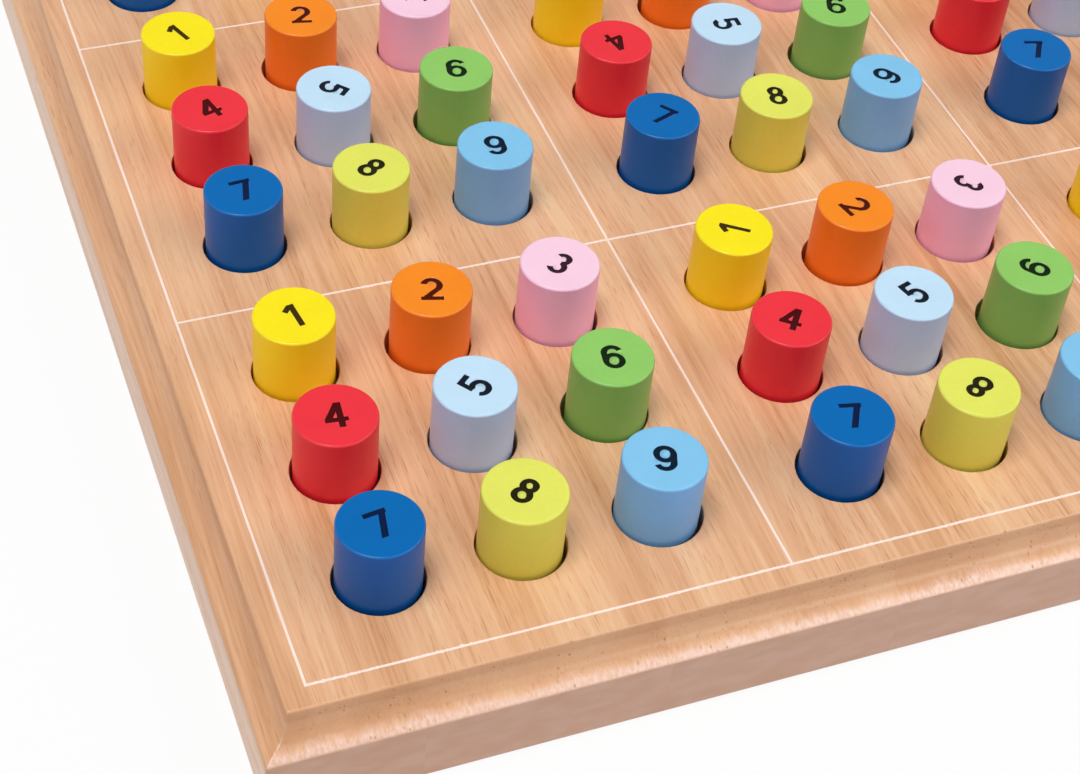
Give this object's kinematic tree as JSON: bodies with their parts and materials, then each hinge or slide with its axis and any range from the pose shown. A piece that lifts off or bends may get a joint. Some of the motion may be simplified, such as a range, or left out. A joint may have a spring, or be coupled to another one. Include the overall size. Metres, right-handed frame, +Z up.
{
  "type": "sudoku board",
  "caption": "Square wooden sudoku board with a moulded edge, white block lines and numbered, painted pegs that stand in blind holes and lift out.",
  "frame": {"origin": "middle of the board's underside", "axes": "+X to the right along the front edge, +Y to the back, +Z up out of the board"},
  "size_m": [0.3, 0.3, 0.037],
  "materials": {
    "bare_wood": "satin",
    "white_paint": "matte",
    "yellow_paint": "satin",
    "orange_paint": "satin",
    "pink_paint": "satin",
    "red_paint": "satin",
    "pale_blue_paint": "satin",
    "green_paint": "satin",
    "blue_paint": "satin",
    "lime_paint": "satin",
    "sky_blue_paint": "satin"
  },
  "bodies": {
    "board": {"board": "bare_wood", "grid_lines": "white_paint"},
    "peg_1_front_left": {"peg_1_front_left": "yellow_paint"},
    "peg_2_front_left": {"peg_2_front_left": "orange_paint"},
    "peg_3_front_left": {"peg_3_front_left": "pink_paint"},
    "peg_4_front_left": {"peg_4_front_left": "red_paint"},
    "peg_5_front_left": {"peg_5_front_left": "pale_blue_paint"},
    "peg_6_front_left": {"peg_6_front_left": "green_paint"},
    "peg_7_front_left": {"peg_7_front_left": "blue_paint"},
    "peg_8_front_left": {"peg_8_front_left": "lime_paint"},
    "peg_9_front_left": {"peg_9_front_left": "sky_blue_paint"},
    "peg_1_front_middle": {"peg_1_front_middle": "yellow_paint"},
    "peg_2_front_middle": {"peg_2_front_middle": "orange_paint"},
    "peg_3_front_middle": {"peg_3_front_middle": "pink_paint"},
    "peg_4_front_middle": {"peg_4_front_middle": "red_paint"},
    "peg_5_front_middle": {"peg_5_front_middle": "pale_blue_paint"},
    "peg_6_front_middle": {"peg_6_front_middle": "green_paint"},
    "peg_7_front_middle": {"peg_7_front_middle": "blue_paint"},
    "peg_8_front_middle": {"peg_8_front_middle": "lime_paint"},
    "peg_9_front_middle": {"peg_9_front_middle": "sky_blue_paint"},
    "peg_1_front_right": {"peg_1_front_right": "yellow_paint"},
    "peg_2_front_right": {"peg_2_front_right": "orange_paint"},
    "peg_3_front_right": {"peg_3_front_right": "pink_paint"},
    "peg_4_front_right": {"peg_4_front_right": "red_paint"},
    "peg_5_front_right": {"peg_5_front_right": "pale_blue_paint"},
    "peg_6_front_right": {"peg_6_front_right": "green_paint"},
    "peg_7_front_right": {"peg_7_front_right": "blue_paint"},
    "peg_8_front_right": {"peg_8_front_right": "lime_paint"},
    "peg_9_front_right": {"peg_9_front_right": "sky_blue_paint"},
    "peg_1_middle_left": {"peg_1_middle_left": "yellow_paint"},
    "peg_2_middle_left": {"peg_2_middle_left": "orange_paint"},
    "peg_3_middle_left": {"peg_3_middle_left": "pink_paint"},
    "peg_4_middle_left": {"peg_4_middle_left": "red_paint"},
    "peg_5_middle_left": {"peg_5_middle_left": "pale_blue_paint"},
    "peg_6_middle_left": {"peg_6_middle_left": "green_paint"},
    "peg_7_middle_left": {"peg_7_middle_left": "blue_paint"},
    "peg_8_middle_left": {"peg_8_middle_left": "lime_paint"},
    "peg_9_middle_left": {"peg_9_middle_left": "sky_blue_paint"},
    "peg_1_back_left": {"peg_1_back_left": "yellow_paint"},
    "peg_2_back_left": {"peg_2_back_left": "orange_paint"},
    "peg_3_back_left": {"peg_3_back_left": "pink_paint"},
    "peg_4_back_left": {"peg_4_back_left": "red_paint"},
    "peg_5_back_left": {"peg_5_back_left": "pale_blue_paint"},
    "peg_6_back_left": {"peg_6_back_left": "green_paint"},
    "peg_7_back_left": {"peg_7_back_left": "blue_paint"},
    "peg_8_back_left": {"peg_8_back_left": "lime_paint"},
    "peg_9_back_left": {"peg_9_back_left": "sky_blue_paint"},
    "pegs_1_back_right": {"pegs_1_back_right": "yellow_paint"},
    "pegs_2_back_right": {"pegs_2_back_right": "orange_paint"},
    "pegs_3_back_right": {"pegs_3_back_right": "pink_paint"},
    "pegs_4_back_right": {"pegs_4_back_right": "red_paint"},
    "pegs_5_back_right": {"pegs_5_back_right": "pale_blue_paint"},
    "pegs_6_back_right": {"pegs_6_back_right": "green_paint"},
    "pegs_7_back_right": {"pegs_7_back_right": "blue_paint"},
    "pegs_8_back_right": {"pegs_8_back_right": "lime_paint"},
    "pegs_9_back_right": {"pegs_9_back_right": "sky_blue_paint"}
  },
  "joints": [
    {"name": "peg_1_front_left_lift", "type": "slide", "parent": "board", "child": "peg_1_front_left", "axis": [0, 0, 1], "range_m": [0, 0.03]},
    {"name": "peg_2_front_left_lift", "type": "slide", "parent": "board", "child": "peg_2_front_left", "axis": [0, 0, 1], "range_m": [0, 0.03]},
    {"name": "peg_3_front_left_lift", "type": "slide", "parent": "board", "child": "peg_3_front_left", "axis": [0, 0, 1], "range_m": [0, 0.03]},
    {"name": "peg_4_front_left_lift", "type": "slide", "parent": "board", "child": "peg_4_front_left", "axis": [0, 0, 1], "range_m": [0, 0.03]},
    {"name": "peg_5_front_left_lift", "type": "slide", "parent": "board", "child": "peg_5_front_left", "axis": [0, 0, 1], "range_m": [0, 0.03]},
    {"name": "peg_6_front_left_lift", "type": "slide", "parent": "board", "child": "peg_6_front_left", "axis": [0, 0, 1], "range_m": [0, 0.03]},
    {"name": "peg_7_front_left_lift", "type": "slide", "parent": "board", "child": "peg_7_front_left", "axis": [0, 0, 1], "range_m": [0, 0.03]},
    {"name": "peg_8_front_left_lift", "type": "slide", "parent": "board", "child": "peg_8_front_left", "axis": [0, 0, 1], "range_m": [0, 0.03]},
    {"name": "peg_9_front_left_lift", "type": "slide", "parent": "board", "child": "peg_9_front_left", "axis": [0, 0, 1], "range_m": [0, 0.03]},
    {"name": "peg_1_front_middle_lift", "type": "slide", "parent": "board", "child": "peg_1_front_middle", "axis": [0, 0, 1], "range_m": [0, 0.03]},
    {"name": "peg_2_front_middle_lift", "type": "slide", "parent": "board", "child": "peg_2_front_middle", "axis": [0, 0, 1], "range_m": [0, 0.03]},
    {"name": "peg_3_front_middle_lift", "type": "slide", "parent": "board", "child": "peg_3_front_middle", "axis": [0, 0, 1], "range_m": [0, 0.03]},
    {"name": "peg_4_front_middle_lift", "type": "slide", "parent": "board", "child": "peg_4_front_middle", "axis": [0, 0, 1], "range_m": [0, 0.03]},
    {"name": "peg_5_front_middle_lift", "type": "slide", "parent": "board", "child": "peg_5_front_middle", "axis": [0, 0, 1], "range_m": [0, 0.03]},
    {"name": "peg_6_front_middle_lift", "type": "slide", "parent": "board", "child": "peg_6_front_middle", "axis": [0, 0, 1], "range_m": [0, 0.03]},
    {"name": "peg_7_front_middle_lift", "type": "slide", "parent": "board", "child": "peg_7_front_middle", "axis": [0, 0, 1], "range_m": [0, 0.03]},
    {"name": "peg_8_front_middle_lift", "type": "slide", "parent": "board", "child": "peg_8_front_middle", "axis": [0, 0, 1], "range_m": [0, 0.03]},
    {"name": "peg_9_front_middle_lift", "type": "slide", "parent": "board", "child": "peg_9_front_middle", "axis": [0, 0, 1], "range_m": [0, 0.03]},
    {"name": "peg_1_front_right_lift", "type": "slide", "parent": "board", "child": "peg_1_front_right", "axis": [0, 0, 1], "range_m": [0, 0.03]},
    {"name": "peg_2_front_right_lift", "type": "slide", "parent": "board", "child": "peg_2_front_right", "axis": [0, 0, 1], "range_m": [0, 0.03]},
    {"name": "peg_3_front_right_lift", "type": "slide", "parent": "board", "child": "peg_3_front_right", "axis": [0, 0, 1], "range_m": [0, 0.03]},
    {"name": "peg_4_front_right_lift", "type": "slide", "parent": "board", "child": "peg_4_front_right", "axis": [0, 0, 1], "range_m": [0, 0.03]},
    {"name": "peg_5_front_right_lift", "type": "slide", "parent": "board", "child": "peg_5_front_right", "axis": [0, 0, 1], "range_m": [0, 0.03]},
    {"name": "peg_6_front_right_lift", "type": "slide", "parent": "board", "child": "peg_6_front_right", "axis": [0, 0, 1], "range_m": [0, 0.03]},
    {"name": "peg_7_front_right_lift", "type": "slide", "parent": "board", "child": "peg_7_front_right", "axis": [0, 0, 1], "range_m": [0, 0.03]},
    {"name": "peg_8_front_right_lift", "type": "slide", "parent": "board", "child": "peg_8_front_right", "axis": [0, 0, 1], "range_m": [0, 0.03]},
    {"name": "peg_9_front_right_lift", "type": "slide", "parent": "board", "child": "peg_9_front_right", "axis": [0, 0, 1], "range_m": [0, 0.03]},
    {"name": "peg_1_middle_left_lift", "type": "slide", "parent": "board", "child": "peg_1_middle_left", "axis": [0, 0, 1], "range_m": [0, 0.03]},
    {"name": "peg_2_middle_left_lift", "type": "slide", "parent": "board", "child": "peg_2_middle_left", "axis": [0, 0, 1], "range_m": [0, 0.03]},
    {"name": "peg_3_middle_left_lift", "type": "slide", "parent": "board", "child": "peg_3_middle_left", "axis": [0, 0, 1], "range_m": [0, 0.03]},
    {"name": "peg_4_middle_left_lift", "type": "slide", "parent": "board", "child": "peg_4_middle_left", "axis": [0, 0, 1], "range_m": [0, 0.03]},
    {"name": "peg_5_middle_left_lift", "type": "slide", "parent": "board", "child": "peg_5_middle_left", "axis": [0, 0, 1], "range_m": [0, 0.03]},
    {"name": "peg_6_middle_left_lift", "type": "slide", "parent": "board", "child": "peg_6_middle_left", "axis": [0, 0, 1], "range_m": [0, 0.03]},
    {"name": "peg_7_middle_left_lift", "type": "slide", "parent": "board", "child": "peg_7_middle_left", "axis": [0, 0, 1], "range_m": [0, 0.03]},
    {"name": "peg_8_middle_left_lift", "type": "slide", "parent": "board", "child": "peg_8_middle_left", "axis": [0, 0, 1], "range_m": [0, 0.03]},
    {"name": "peg_9_middle_left_lift", "type": "slide", "parent": "board", "child": "peg_9_middle_left", "axis": [0, 0, 1], "range_m": [0, 0.03]},
    {"name": "peg_1_back_left_lift", "type": "slide", "parent": "board", "child": "peg_1_back_left", "axis": [0, 0, 1], "range_m": [0, 0.03]},
    {"name": "peg_2_back_left_lift", "type": "slide", "parent": "board", "child": "peg_2_back_left", "axis": [0, 0, 1], "range_m": [0, 0.03]},
    {"name": "peg_3_back_left_lift", "type": "slide", "parent": "board", "child": "peg_3_back_left", "axis": [0, 0, 1], "range_m": [0, 0.03]},
    {"name": "peg_4_back_left_lift", "type": "slide", "parent": "board", "child": "peg_4_back_left", "axis": [0, 0, 1], "range_m": [0, 0.03]},
    {"name": "peg_5_back_left_lift", "type": "slide", "parent": "board", "child": "peg_5_back_left", "axis": [0, 0, 1], "range_m": [0, 0.03]},
    {"name": "peg_6_back_left_lift", "type": "slide", "parent": "board", "child": "peg_6_back_left", "axis": [0, 0, 1], "range_m": [0, 0.03]},
    {"name": "peg_7_back_left_lift", "type": "slide", "parent": "board", "child": "peg_7_back_left", "axis": [0, 0, 1], "range_m": [0, 0.03]},
    {"name": "peg_8_back_left_lift", "type": "slide", "parent": "board", "child": "peg_8_back_left", "axis": [0, 0, 1], "range_m": [0, 0.03]},
    {"name": "peg_9_back_left_lift", "type": "slide", "parent": "board", "child": "peg_9_back_left", "axis": [0, 0, 1], "range_m": [0, 0.03]},
    {"name": "pegs_1_back_right_lift", "type": "slide", "parent": "board", "child": "pegs_1_back_right", "axis": [0, 0, 1], "range_m": [0, 0.03]},
    {"name": "pegs_2_back_right_lift", "type": "slide", "parent": "board", "child": "pegs_2_back_right", "axis": [0, 0, 1], "range_m": [0, 0.03]},
    {"name": "pegs_3_back_right_lift", "type": "slide", "parent": "board", "child": "pegs_3_back_right", "axis": [0, 0, 1], "range_m": [0, 0.03]},
    {"name": "pegs_4_back_right_lift", "type": "slide", "parent": "board", "child": "pegs_4_back_right", "axis": [0, 0, 1], "range_m": [0, 0.03]},
    {"name": "pegs_5_back_right_lift", "type": "slide", "parent": "board", "child": "pegs_5_back_right", "axis": [0, 0, 1], "range_m": [0, 0.03]},
    {"name": "pegs_6_back_right_lift", "type": "slide", "parent": "board", "child": "pegs_6_back_right", "axis": [0, 0, 1], "range_m": [0, 0.03]},
    {"name": "pegs_7_back_right_lift", "type": "slide", "parent": "board", "child": "pegs_7_back_right", "axis": [0, 0, 1], "range_m": [0, 0.03]},
    {"name": "pegs_8_back_right_lift", "type": "slide", "parent": "board", "child": "pegs_8_back_right", "axis": [0, 0, 1], "range_m": [0, 0.03]},
    {"name": "pegs_9_back_right_lift", "type": "slide", "parent": "board", "child": "pegs_9_back_right", "axis": [0, 0, 1], "range_m": [0, 0.03]}
  ]
}
